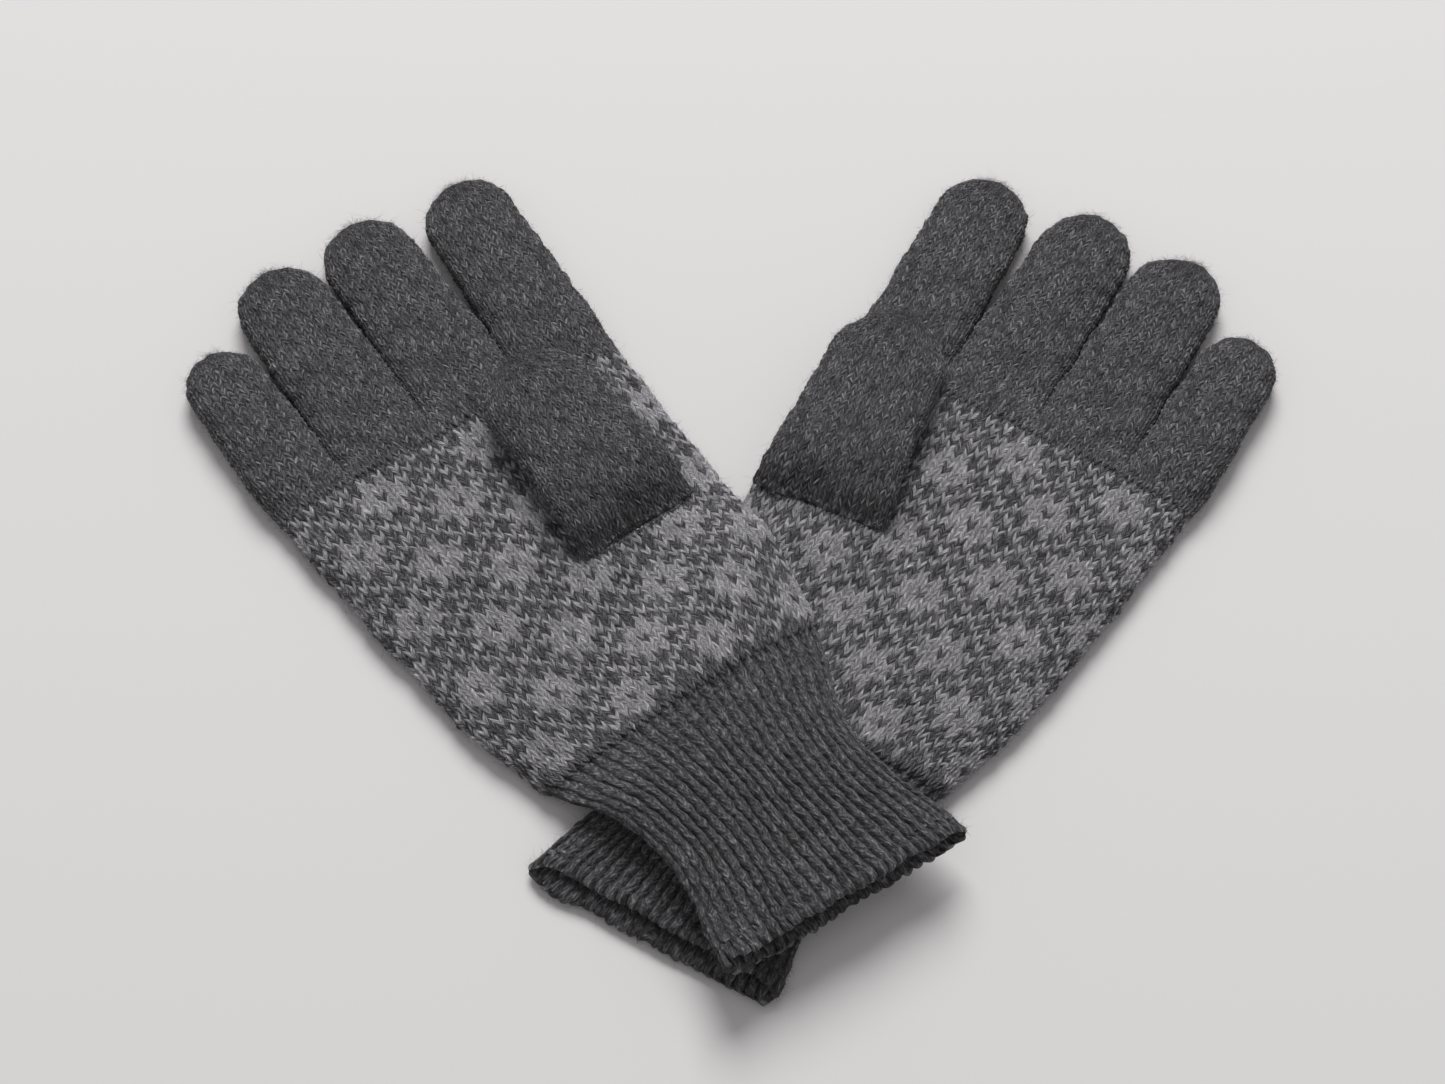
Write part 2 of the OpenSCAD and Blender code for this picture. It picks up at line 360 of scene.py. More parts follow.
def make_mesh(name, points, faces, uvs, yarns):
    """A smooth mesh from whole arrays: points in metres, and for each kind of face its
    corners, their knit coordinates and the lightness of its yarn."""
    mesh = bpy.data.meshes.new(name)
    sides = np.concatenate([np.full(len(some), some.shape[1]) for some in faces])
    starts = np.concatenate([[0], np.cumsum(sides)[:-1]])
    corners = np.concatenate([some.ravel() for some in faces])
    mesh.vertices.add(len(points))
    mesh.vertices.foreach_set("co", points.astype(np.float32).ravel())
    mesh.loops.add(len(corners))
    mesh.loops.foreach_set("vertex_index", corners.astype(np.int32))
    mesh.polygons.add(len(sides))
    mesh.polygons.foreach_set("loop_start", starts.astype(np.int32))
    mesh.update(calc_edges=True)
    knit = np.concatenate([some.reshape(-1, 2) for some in uvs])
    mesh.uv_layers.new(name="knit").data.foreach_set("uv", knit.astype(np.float32).ravel())
    yarn = np.concatenate([some.ravel() for some in yarns])
    mesh.attributes.new("yarn", "FLOAT", "FACE").data.foreach_set("value", yarn.astype(np.float32))
    mesh.shade_smooth()
    piece = bpy.data.objects.new(name, mesh)
    bpy.context.scene.collection.objects.link(piece)
    return piece


class Faces:
    """The faces of one skin: each kind's corners, knit coordinates and yarn."""

    def __init__(self, u, v, mirror):
        self.u, self.mirror = u, mirror
        # v stops a quarter course short of each end, so the painted crease shade draws no dark seam
        self.v = np.clip(v, v.min() + 0.25, v.max() - 0.25)
        self.step = u[1] - u[0]
        self.corners, self.uvs, self.yarns = [], [], []

    def add(self, corners, columns, aside, yarn=0.0):
        """corners (n, k); columns (n,) is each face's column, and aside (k,) tells which of
        its corners lie one column further on."""
        u = self.u[columns][:, None] + self.step * np.asarray(aside)[None, :]
        uv = np.stack([u, self.v[corners]], -1)
        if self.mirror < 0:
            corners, uv = corners[:, ::-1], uv[:, ::-1]
        self.corners.append(corners)
        self.uvs.append(uv)
        self.yarns.append(np.broadcast_to(np.asarray(yarn, float), (len(corners),)))


def band_faces(faces, low, high, count, yarn=0.0, keep=None):
    """Quads between ring low and ring high, given as arrays of the rings' first vertices."""
    column = np.arange(count)
    aside = (column + 1) % count
    low, high = np.atleast_1d(low)[:, None], np.atleast_1d(high)[:, None]
    quads = np.stack([low + column, high + column, high + aside, low + aside], -1)
    columns = np.broadcast_to(column, quads.shape[:2])
    yarn = np.broadcast_to(np.asarray(yarn, float), quads.shape[:2])
    keep = np.ones(quads.shape[:2], bool) if keep is None else keep
    faces.add(quads[keep], columns[keep], (0, 0, 1, 1), yarn[keep])


def skin(glove, name, outer, inner, knit, inner_v, tip=None, yarn=None, hole=None):
    """A wall between an outer skin (rings from the near end to the far end) and an inner one
    (from the far end back). tip gives two points that close both skins at the far end, and
    hole the first and last wale and course of an opening in them."""
    n, count = outer.shape[:2]
    m = len(inner)
    v = np.concatenate([np.repeat(knit.v, count), np.repeat(inner_v, count)])
    points = np.concatenate([outer.reshape(-1, 3), inner.reshape(-1, 3)])
    if tip is not None:
        points = np.concatenate([points, np.asarray(tip)])
        v = np.concatenate([v, [knit.v[-1] + 0.5] * 2])
    faces = Faces(knit.u, v, glove.mirror)
    rings = np.arange(n) * count
    inner_rings = (n + np.arange(m)) * count
    yarn = np.zeros((n, count)) if yarn is None else yarn
    inside = yarn[np.clip((inner_v * knit.up).astype(int), 0, n - 1)]
    keep, keep_inside = np.ones((n - 1, count), bool), np.ones((m - 1, count), bool)
    if hole is not None:
        (wale, last_wale), (course, last_course) = hole
        across = count // knit.wales
        first, last = wale * across, last_wale * across
        low, high = course * knit.up, last_course * knit.up
        top, bottom = list(inner_v).index(last_course), list(inner_v).index(course)
        keep[low:high, first:last] = False
        keep_inside[top:bottom, first:last] = False
    band_faces(faces, rings[:-1], rings[1:], count, yarn[:-1], keep)
    inner_yarn = 1 - inside[:-1] if yarn.any() else 0
    band_faces(faces, inner_rings[:-1], inner_rings[1:], count, inner_yarn, keep_inside)
    band_faces(faces, inner_rings[-1], 0, count)
    column = np.arange(count)
    aside = (column + 1) % count
    if tip is None:
        band_faces(faces, rings[-1], inner_rings[0], count)
    else:
        pole = np.full(count, (n + m) * count)
        last_ring, first_inner = rings[-1], inner_rings[0]
        faces.add(np.stack([last_ring + column, pole, last_ring + aside], -1), column, (0, 0.5, 1))
        inner_cap = np.stack([pole + 1, first_inner + column, first_inner + aside], -1)
        faces.add(inner_cap, column, (0.5, 0, 1))
    if hole is not None:
        across_hole = np.arange(first, last)
        near, near_inner = rings[low] + across_hole, inner_rings[bottom] + across_hole
        far, far_inner = rings[high] + across_hole, inner_rings[top] + across_hole
        faces.add(np.stack([near + 1, near, near_inner, near_inner + 1], -1), across_hole, (1, 0, 0, 1))
        faces.add(np.stack([far, far + 1, far_inner + 1, far_inner], -1), across_hole, (0, 1, 1, 0))
        side = rings[low:high + 1]
        ends = inner_rings[[top, bottom]]
        straight = np.zeros(len(side) + 2)
        faces.add((np.concatenate([side, ends]) + first)[None], np.array([first]), straight)
        faces.add((np.concatenate([side[::-1], ends[::-1]]) + last)[None], np.array([last]), straight)
    return make_mesh(name, glove.world(points), faces.corners, faces.uvs, faces.yarns)


def fuzz(glove, name, grid, knit, yarn, count, seed):
    """Loose fibres that stand out of a skin. Each is a thin closed spindle along the curve
    root + reach (s heading + s^2 curl), with s from 0 to 1, three-sided and widest halfway."""
    random = np.random.default_rng(seed)
    rows, columns = grid.shape[:2]
    row = random.integers(0, rows - 1, count)
    column = random.integers(0, columns, count)
    root = grid[row, column] + random.random((count, 1)) * (grid[row + 1, column] - grid[row, column])
    normal = outward(grid)[row, column]
    low = (normal[:, 2] < -0.5) & (random.random(count) < 0.85)
    row, column, root, normal = row[~low], column[~low], root[~low], normal[~low]
    count = len(row)
    wild = random.normal(size=(count, 3))
    along = wild - (wild * normal).sum(1, keepdims=True) * normal
    along /= np.linalg.norm(along, axis=1, keepdims=True)
    rise = np.radians(random.uniform(8, 65, (count, 1)))
    heading = along * np.cos(rise) + normal * np.sin(rise)
    side = np.cross(heading, normal + 0.01)
    side /= np.linalg.norm(side, axis=1, keepdims=True)
    droop = random.normal(0, 0.5, (count, 1)), random.uniform(0.1, 0.7, (count, 1))
    curl = side * droop[0] - normal * droop[1] * np.sin(rise)
    reach = random.gamma(3.5, 0.55, (count, 1)).clip(0.7, 5.0)
    s = np.array([0.0, 0.5, 1.0])
    spine = root[:, None] - 0.15 * normal[:, None] + reach[:, None] * (
        s[None, :, None] * heading[:, None] + s[None, :, None] ** 2 * curl[:, None])
    spine[..., 2] = np.maximum(spine[..., 2], 0.1)
    third = np.cross(heading, side)
    turn = np.radians([0, 120, 240])
    around = side[:, None] * np.cos(turn)[None, :, None]
    around = around + third[:, None] * np.sin(turn)[None, :, None]
    points = np.concatenate([spine[:, :1], spine[:, 1:2] + FIBRE * around, spine[:, 2:]], 1)
    tris = np.array([[0, 2, 1], [0, 3, 2], [0, 1, 3], [1, 2, 4], [2, 3, 4], [3, 1, 4]])
    if glove.mirror < 0:
        tris = tris[:, ::-1]
    first = 5 * np.arange(count)[:, None, None]
    uv = np.stack([knit.u[column], knit.v[row] + 0.37], -1)
    shade = yarn[row, column] if yarn is not None else np.zeros(count)
    faces = [(first + tris).reshape(-1, 3)]
    points = glove.world(points).reshape(-1, 3)
    return make_mesh(name, points, faces, [np.repeat(uv, 18, 0)], [np.repeat(shade, 6)])


# ---------------------------------------------------------------- pieces

FIBRE = 0.028           # a loose fibre's girth, in mm
FIBRES = 0.95           # loose fibres to a square mm
RIBS = 24               # ribs on each face of a cuff
RIB_COURSE = 2.1        # height of a course in the cuff, in mm
HAND_WALES = 42         # stitches across each face of the hand
HAND_COURSES = 50
FINGER_WALES = (14, 14, 14, 11)
PLAIN_COURSE = 1.886    # height of a course in the fingers, in mm
THUMB_WALES = 18
HEM_COURSES = 2
HEM_BEAD = 1.32         # swell of the cast-on edge, 4 times its greatest height in mm
SCALLOP = 0.3           # how far a rib's end stands out at the hem, in courses


def inner_rows(knit, step, also=()):
    """Whole courses for the rings of an inner skin, from the far end back to the near one."""
    rows = set(range(0, knit.courses, step)) | {knit.courses} | set(also)
    return np.array(sorted(rows, reverse=True), float)


def ribbed(glove, piece, start, end, courses, ends, seed):
    """A length of 1 x 1 rib on the glove's tube. Both of its faces have the ribs."""
    knit = Knit(2 * RIBS, courses, 10, 3, seed, ends, RIB_SLANT)
    angle = even_angles(RIBS * 10, glove.half(30.0), GLOVE_H)
    height = (end - start) / courses
    scallop = np.sin(math.pi * (knit.u % 1)) ** 0.7
    row = knit.r - (SCALLOP * (1 - smooth(knit.v))[:, None] * scallop if piece == "hem" else 0)
    outer = shell(glove, start + row * height, angle, 0.0)
    stretched = 1 - 0.4 * smooth((start + row * height - 30) / 45)
    relief = knit.rib_relief() * stretched - 0.45 * RIB_RELIEF * knit.fade_out()
    if piece == "hem":
        roll = 1 - smooth(knit.v / 1.2)[:, None]
        relief = relief * (1 - 0.3 * roll) + HEM_BEAD * roll * (1 - roll) - 0.5 * roll ** 3
    outer = uneven(glove, outer)
    outer = outer + relief[..., None] * outward(outer)
    v = inner_rows(knit, 2)
    row = knit.bend(v) - (SCALLOP * (1 - smooth(v))[:, None] * scallop if piece == "hem" else 0)
    inner = shell(glove, start + row * height, angle, RIB_WALL)
    ribs = RIB_RELIEF * 0.5 * (0.5 - np.sin(math.pi * (knit.u % 1)) ** 0.7)
    inner = inner + ribs[None, :, None] * outward(inner)
    part = skin(glove, f"{glove.side}_{piece}", outer, inner, knit, v)
    return part, outer, knit


def chart(knit, flower_wale, flower_course):
    """The two-colour pattern: 12 x 12 stitches with an eight-pointed flower at a corner and
    another at the centre, and a lattice one stitch wide between them. 1 is light yarn and
    0 is dark. The first and last course are all dark."""
    course, wale = knit.stitch()
    light = np.zeros(np.broadcast(course, wale).shape, bool)
    for centre in (0, 6):
        dx = abs((wale - flower_wale - centre + 6) % 12 - 6)
        dy = abs((course - flower_course - centre + 6) % 12 - 6)
        petals = (np.maximum(dx, dy) <= 2) & (dx * dy < 4) & (dx + dy > 0)
        tips = dx * dy == 3
        light |= petals | tips | (dx + dy == 6)
    light &= (course > 0) & (course < HAND_COURSES - 1)
    return light.astype(float)


FLOWERS = {"right": (-20.5, 132.0), "left": (-1.2, 131.0)}    # a flower on each palm


def hand(glove):
    """The patterned hand, with an opening in the palm where the thumb grows out of it."""
    knit = Knit(2 * HAND_WALES, HAND_COURSES, 6, 3, glove.seed + 3, (0, 1.0))
    knit.r = knit.r - lap(knit)
    start, end = glove.cuff_top, glove.band_start
    height = (end - start) / HAND_COURSES
    angle = even_angles(HAND_WALES * 6, glove.half(135.0), GLOVE_H)
    outer = shell(glove, start + knit.r * height, angle, 0.0)
    outer = uneven(glove, outer)
    outer = lapped(knit, outer)
    root = glove.thumb_root
    course = math.ceil((root[1] - start) / height) + 1
    x = outer[course * 3, :HAND_WALES * 6:6, 0]
    wale = int(np.argmin(abs(x - root[0] - 14)))
    last_wale = int(np.argmin(abs(x - root[0] + 14)))
    v = inner_rows(knit, 2, (course, course + 3))
    v = v[(v <= course) | (v >= course + 3)]
    inner = shell(glove, start + knit.bend(v) * height, angle, PATTERN_WALL)
    flower_x, flower_y = FLOWERS[glove.side]
    flower_course = round((flower_y - start) / height - 0.5)
    across_palm = outer[flower_course * 3, :HAND_WALES * 6:6, 0]
    yarn = chart(knit, int(np.argmin(abs(across_palm - flower_x - 1.3))), flower_course)
    part = skin(glove, f"{glove.side}_hand", outer, inner, knit, v, yarn=yarn,
                hole=((wale, last_wale), (course, course + 3)))
    return part, outer, knit, yarn


class Digit:
    """A finger's or thumb's size in the glove's own frame, read from its CAD node's points."""

    def __init__(self, points):
        low, high = points.min(0), points.max(0)
        tip = points[points[:, 1].argmax()]
        near = points[points[:, 1] < low[1] + 0.5]
        self.centre = (near[:, 0].min() + near[:, 0].max()) / 2
        self.half = (near[:, 0].max() - near[:, 0].min()) / 2
        self.length = high[1] - low[1]
        self.drift = (tip[0] - self.centre) / self.length
        self.height = high[2] - low[2]


def digit_point(along, angle, inset, centre, half, length, drift, height, low=0.0):
    """A point on a lying finger: a straight tube, then a rounded tip. along is the distance
    from its root over the skin, which turns in over the tip by (along - straight) / reach."""
    reach = 1.08 * half
    straight = length - reach
    half = half * (1 - 0.05 * smooth(along / straight))
    turn = np.clip((along - straight) / reach, 0, math.pi / 2)
    share = np.cos(turn)
    y = np.minimum(along, straight) + (reach - inset) * np.sin(turn)
    across = half * share ** 0.85 - inset * np.maximum(share, 0.15)
    tall = 0.5 + 0.5 * share ** 0.8
    mid = low + (height - low) * DIGIT_FOLD_Z
    bottom = mid + (low + inset - mid) * tall
    top = mid + (height - inset - mid) * tall
    x, z = section(angle + 0 * along, across, bottom, top, DIGIT_FOLD_Z)
    return np.stack([x + centre + drift * y, y, z], -1)


def digit_run(half, length):
    """The distance over a digit's skin from its root to its tip."""
    return length + 1.08 * half * (math.pi / 2 - 1)


def front(glove, along, columns, inset):
    """The fabric on both sides of the finger roots. Before the knuckles the glove's wide tube
    turns little by little into the four tubes of the fingers; from there on it is theirs."""
    angle, digit_angle, centre, half, length, drift = (row[columns] for row in glove.columns)
    y = glove.knuckle + along
    wide = shell(glove, np.minimum(y, glove.knuckle), angle, inset)
    tubes = digit_point(along, digit_angle, inset, centre, half, length, drift, FINGER_H - CREST, SOLE)
    tubes[..., 1] += glove.knuckle
    share = smooth((y - glove.band_start - 1) / (glove.knuckle - glove.band_start - 1))[..., None]
    swell = 0.25 * wobble(tubes[..., 0], tubes[..., 1], 26, glove.seed + 5)
    tubes[..., 2] += swell * np.clip(np.sin(digit_angle), 0, 1)
    return wide * (1 - share) + tubes * share


FINGER_EASE = 0.05      # a finger's skin is this much wider than its CAD half width, in mm
THUMB_EASE = 0.3        # and a thumb's this much narrower
TIP_GAP = 0.25          # from the last ring of stitches to the point that closes a tip
ACROSS = 6              # grid columns to a plain stitch
UP = 3                  # grid rows to a course


def finger_columns(glove):
    """Each column of the finger band: its angle on the wide tube, its angle on its finger,
    and its finger's centre, half width, length and drift."""
    tops, soles = [], []
    for name, wales in zip(FINGERS, FINGER_WALES):
        digit = glove.digits[name]
        count = wales * ACROSS
        angle = even_angles(count, digit.half, FINGER_H)
        values = (digit.centre, digit.half + FINGER_EASE, digit.length, digit.drift)
        facts = [np.full(count, value) for value in values]
        tops.append(np.stack([angle[:count], *facts]))
        soles.append(np.stack([angle[count:], *facts]))
    count = sum(FINGER_WALES) * ACROSS
    wide = even_angles(count, glove.half(glove.knuckle), GLOVE_H)
    return np.concatenate([wide[None], np.concatenate(tops + soles[::-1], 1)])


def finger_base(glove):
    """The plain band between the pattern and the finger roots."""
    courses = round((glove.knuckle - glove.band_start) / PLAIN_COURSE)
    knit = Knit(2 * sum(FINGER_WALES), courses, ACROSS, UP, glove.seed + 6, (0, 0))
    knit.r = knit.r - lap(knit)
    every = np.arange(len(knit.u))
    stretch = (glove.knuckle - glove.band_start) / courses / PLAIN_COURSE

    def place(r, inset):
        return front(glove, (r - courses) * PLAIN_COURSE * stretch, every, inset)

    outer = lapped(knit, uneven(glove, place(knit.r, 0.0)))
    v = inner_rows(knit, 1)
    inner = place(knit.bend(v), PLAIN_WALL)
    return skin(glove, f"{glove.side}_finger_base", outer, inner, knit, v), outer, knit


def closed_tube(glove, piece, knit, place):
    """A plain tube that is closed at its tip, where its stitches grow finer over nine courses.
    place gives the point at each course, at a depth in the fabric."""
    shrink = smooth((knit.courses - knit.v) / 9)[:, None]
    outer = uneven(glove, place(knit.r, 0.0))
    outer = outer + (knit.leg_relief() * (0.25 + 0.75 * shrink))[..., None] * outward(outer)
    v = inner_rows(knit, 2)[1:]
    inner = place(knit.bend(v), PLAIN_WALL)
    tip = outer[-1].mean(0) + [0, TIP_GAP, 0], inner[0].mean(0) + [0, 0.8 * TIP_GAP, 0]
    return skin(glove, f"{glove.side}_{piece}", outer, inner, knit, v, tip=tip), outer, knit


def finger(glove, number):
    """A finger, which carries on from the band's own stitches and is closed at its tip."""
    name, wales = FINGERS[number], FINGER_WALES[number]
    digit = glove.digits[name]
    half_count, before = sum(FINGER_WALES) * ACROSS, sum(FINGER_WALES[:number]) * ACROSS
    count = wales * ACROSS
    top = np.arange(before, before + count)
    sole = np.arange(2 * half_count - before - count, 2 * half_count - before)
    columns = np.concatenate([top, sole])
    run = digit_run(digit.half + FINGER_EASE, digit.length)
    courses = int(run / PLAIN_COURSE)
    knit = Knit(2 * wales, courses, ACROSS, UP, glove.seed + 20 + number, (0, 4.0))
    knit.drop_last_row()

    def place(r, inset):
        return front(glove, np.minimum(r * PLAIN_COURSE, run - TIP_GAP), columns, inset)

    return closed_tube(glove, f"{name}_finger", knit, place)


THUMB_ROLL = {"right": 1.5, "left": 3.0}    # the thumb leans towards the glove's edge, degrees
THUMB_SHIFT = {"right": -3.2, "left": 2.0}  # each thumb as it lies, along the palm, in mm
THUMB_TRIM = {"right": 2.5, "left": 0.0}    # and how much shorter it looks for its curl
THUMB_FLARE = {"right": 0.02, "left": 0.1}  # and how much wider its root is spread
THUMB_RISE = 22.0       # the thumb fills out over this distance from its root, in mm
THUMB_ROOT = 0.07       # its height at the root, as a share of its full height
THUMB_SINK = 0.75       # how far its root lies below the palm's crown, in mm
THUMB_SETBACK = 4.5     # its underside starts this far along the palm from its upper side
THUMB_SOLE = 0.4        # its underside's height above the palm
SLIT_LENGTH = 28.0      # the opening the thumb grows out of, in mm
SLIT_HEIGHT = 6.6
RIM_DEPTH = 2.0         # the picked-up edge lies this far down in it
RIM_GIRTH = 0.85        # half the edge's thickness
RIM_STITCHES = 36


def thumb(glove):
    """The thumb lies on the palm. It starts as a flat pocket on the opening's edge and fills
    out to its full height, and it is closed at its tip."""
    digit = glove.digits["thumb"]
    half = digit.half - THUMB_EASE
    run = digit_run(half, digit.length)
    courses = int(run / PLAIN_COURSE)
    knit = Knit(2 * THUMB_WALES, courses, ACROSS, UP, glove.seed + 30, (1.0, 4.0))
    knit.drop_last_row()
    angle = even_angles(THUMB_WALES * ACROSS, digit.half, digit.height)
    root = glove.thumb_root

    def place(r, inset):
        along = np.minimum(r * PLAIN_COURSE, run - TIP_GAP)
        top = digit.height - CREST
        points = digit_point(along, angle, inset, 0.0, half, digit.length, 0.0, top, THUMB_SOLE)
        growth = np.sin(math.pi / 2 * np.clip(along / THUMB_RISE, 0, 1)) ** 0.85
        rise = THUMB_ROOT + (1 - THUMB_ROOT) * growth
        sunk = (root[2] - GLOVE_H + THUMB_SINK) * (1 - smooth(along / 9))
        points[..., 0] *= 1 + THUMB_FLARE[glove.side] * (1 - smooth(along / 30))
        points[..., 2] = points[..., 2] * rise - sunk
        swell = 0.3 * wobble(points[..., 0], points[..., 1], 30, glove.seed + 7)
        points[..., 2] += swell * np.clip(np.sin(angle), 0, 1) * rise
        points[..., 1] += np.clip(-np.sin(angle), 0, 1) * THUMB_SETBACK * (1 - smooth(along / 12))
        return glove.thumb_place(points)

    return closed_tube(glove, "thumb", knit, place)


def thumb_rim(glove):
    """The picked-up edge round the thumb opening: a cord along a slot with round ends,
    thicker at each picked-up stitch."""
    bow = SLIT_HEIGHT / 2 + 0.9
    straight = SLIT_LENGTH - SLIT_HEIGHT
    end = math.pi * bow
    run = 2 * straight + 2 * end
    count = 240
    s = np.arange(count) / count * run
    part = [s < straight, s < straight + end, s < 2 * straight + end]
    last_turn = math.pi + (s - 2 * straight - end) / bow
    turn = np.select(part, [0 * s, (s - straight) / bow, math.pi + 0 * s], last_turn)
    x_along = [s - straight / 2, straight / 2 + 0 * s, straight * 1.5 + end - s]
    x = np.select(part, x_along, -straight / 2)
    side, ahead = np.sin(turn), -np.cos(turn)
    middle = np.stack([x + bow * side, SLIT_HEIGHT / 2 + bow * ahead, 0 * s - RIM_DEPTH], -1)
    out = np.stack([side, ahead, 0 * s], -1)
    around = np.arange(10) / 10 * 2 * math.pi
    girth = RIM_GIRTH * (1 + 0.16 * np.cos(2 * math.pi * s / run * RIM_STITCHES))
    level = np.cos(around)[:, None, None] * out[None]
    upright = np.sin(around)[:, None, None] * np.array([0, 0, 1])
    rings = glove.thumb_place(middle[None] + girth[None, :, None] * (level + upright))
    stitches = np.arange(count) * RIM_STITCHES / count
    faces = Faces(stitches, np.repeat(np.arange(10) / 10, count), glove.mirror)
    first = np.arange(10) * count
    band_faces(faces, first, np.roll(first, -1), count)
    points = glove.world(rings).reshape(-1, 3)
    return make_mesh(f"{glove.side}_thumb_rim", points, faces.corners, faces.uvs, faces.yarns)


# ---------------------------------------------------------------- wool


def add_node(tree, kind, **settings):
    """A new shader node with these settings."""
    node = tree.nodes.new(kind)
    for key, value in settings.items():
        setattr(node, key, value)
    return node


def scaled_noise(tree, source, stretch, detail=2.0, roughness=0.5):
    """A noise over the knit coordinates, stretch times finer across and up. The third
    coordinate tells the legs of the stitches apart."""
    scale = add_node(tree, "ShaderNodeVectorMath", operation="MULTIPLY")
    scale.inputs[1].default_value = (*stretch, 1)
    noise = add_node(tree, "ShaderNodeTexNoise")
    noise.inputs["Scale"].default_value = 1
    noise.inputs["Detail"].default_value = detail
    noise.inputs["Roughness"].default_value = roughness
    tree.links.new(source, scale.inputs[0])
    tree.links.new(scale.outputs[0], noise.inputs["Vector"])
    return noise.outputs["Fac"] if "Fac" in noise.outputs else noise.outputs[0]


def remap(tree, value, low, high, to_low, to_high):
    """A value carried from low..high to to_low..to_high, and held at both ends."""
    node = add_node(tree, "ShaderNodeMapRange")
    for name, number in zip(("From Min", "From Max", "To Min", "To Max"), (low, high, to_low, to_high)):
        node.inputs[name].default_value = number
    tree.links.new(value, node.inputs["Value"])
    return node.outputs["Result"]


def calculate(tree, operation, first, second=0):
    """One sum on two sockets or numbers."""
    node = add_node(tree, "ShaderNodeMath", operation=operation)
    for socket, value in zip(node.inputs, (first, second)):
        if isinstance(value, (int, float)):
            socket.default_value = value
        else:
            tree.links.new(value, socket)
    return node.outputs[0]


DARK_YARN = 0.112       # mean brightness of the dark yarn
LIGHT_YARN = 0.40       # and of the light one
TINT = (1.0, 0.972, 1.03)
HEATHER = 1.6          # how strongly dark and pale fibres differ, in doublings


def wool(name, wale, course, crease_shade_tone, tone_factor, streak, two_yarns=False):
    """Heather wool: every yarn is spun from dark and pale fibres, which show as streaks along
    its strands; streak is a streak's size in mm, across a wale and up a course. Each leg of a
    stitch differs a little, and shade is painted into the creases round it."""
    material = bpy.data.materials.new(name)
    material.use_nodes = True
    tree = material.node_tree
    shader = tree.nodes["Principled BSDF"]
    knit = add_node(tree, "ShaderNodeUVMap", uv_map="knit").outputs[0]
    across, up = wale / streak[0], course / streak[1]
    parts = add_node(tree, "ShaderNodeSeparateXYZ")
    tree.links.new(knit, parts.inputs[0])
    leg = calculate(tree, "FLOOR", calculate(tree, "MULTIPLY", parts.outputs[0], 2))
    by_leg = add_node(tree, "ShaderNodeCombineXYZ")
    tree.links.new(parts.outputs[0], by_leg.inputs[0])
    tree.links.new(parts.outputs[1], by_leg.inputs[1])
    tree.links.new(calculate(tree, "MULTIPLY", leg, 7.31), by_leg.inputs[2])
    ribbed_here = name == "ribbed_wool"
    strand = knit if ribbed_here else by_leg.outputs[0]
    streaks = remap(tree, scaled_noise(tree, strand, (across, up), 2, 0.6), 0.32, 0.68, -1, 1)
    fine = remap(tree, scaled_noise(tree, strand, (across * 3, up * 3), 1), 0.3, 0.7, -1, 1)
    patches = remap(tree, scaled_noise(tree, knit, (0.9, 0.35), 2), 0.3, 0.7, -1, 1)
    cell = add_node(tree, "ShaderNodeCombineXYZ")
    tree.links.new(leg, cell.inputs[0])
    tree.links.new(calculate(tree, "FLOOR", parts.outputs[1]), cell.inputs[1])
    random_leg = add_node(tree, "ShaderNodeTexWhiteNoise", noise_dimensions="2D")
    tree.links.new(cell.outputs[0], random_leg.inputs["Vector"])
    legs = remap(tree, random_leg.outputs["Value"], 0, 1, -1, 1)

    # spacing and sharpness of the painted crease shade, across the legs and up the courses
    legs_wave, legs_power, courses_power = (1.0, 0.5, 0.07) if ribbed_here else (2.0, 0.4, 0.3)
    shade_between_legs = wave(tree, parts.outputs[0], legs_wave, legs_power)
    shade_between_courses = wave(tree, parts.outputs[1], 1.0, courses_power)
    # painted shade: darker in the creases between legs and courses, where the knit shades itself
    crease = calculate(tree, "MULTIPLY", shade_between_legs, shade_between_courses)
    if name == "plain_wool":
        # and more painted shade in the furrows between the wales
        furrow_shade = remap(tree, wave(tree, parts.outputs[0], 1.0, 0.5), 0, 1, 0.6, 1.05)
        crease = calculate(tree, "MULTIPLY", crease, furrow_shade)
    # the painted crease shade, with each wool's tone factor on its whole brightness
    shade = remap(tree, crease, 0, 1, crease_shade_tone * tone_factor, 1.12 * tone_factor)

    heather = calculate(tree, "MULTIPLY", streaks, HEATHER)
    for part, share in ((fine, 0.4), (patches, 0.35), (legs, 0.25)):
        heather = calculate(tree, "ADD", heather, calculate(tree, "MULTIPLY", part, share))
    if two_yarns:
        yarn = add_node(tree, "ShaderNodeAttribute", attribute_name="yarn").outputs["Fac"]
        base = remap(tree, yarn, 0, 1, DARK_YARN, LIGHT_YARN)
        heather = calculate(tree, "MULTIPLY", heather, remap(tree, yarn, 0, 1, 1.0, 0.5))
        tone = calculate(tree, "MULTIPLY", base, calculate(tree, "POWER", 2.0, heather))
    else:
        tone = calculate(tree, "MULTIPLY", DARK_YARN, calculate(tree, "POWER", 2.0, heather))
    tone = calculate(tree, "MULTIPLY", tone, shade)
    colour = add_node(tree, "ShaderNodeVectorMath", operation="SCALE")
    colour.inputs[0].default_value = TINT
    tree.links.new(tone, colour.inputs["Scale"])
    tree.links.new(colour.outputs[0], shader.inputs["Base Color"])
    shader.inputs["Roughness"].default_value = 0.9
    shader.inputs["Specular IOR Level"].default_value = 0.12
    shader.inputs["Sheen Weight"].default_value = 0.1
    shader.inputs["Sheen Roughness"].default_value = 0.6
    bump = add_node(tree, "ShaderNodeBump")
    bump.inputs["Strength"].default_value = 0.7
    bump.inputs["Distance"].default_value = 0.0003
    height = calculate(tree, "ADD", streaks, calculate(tree, "MULTIPLY", fine, 0.8))
    tree.links.new(height, bump.inputs["Height"])
    tree.links.new(bump.outputs[0], shader.inputs["Normal"])
    return material


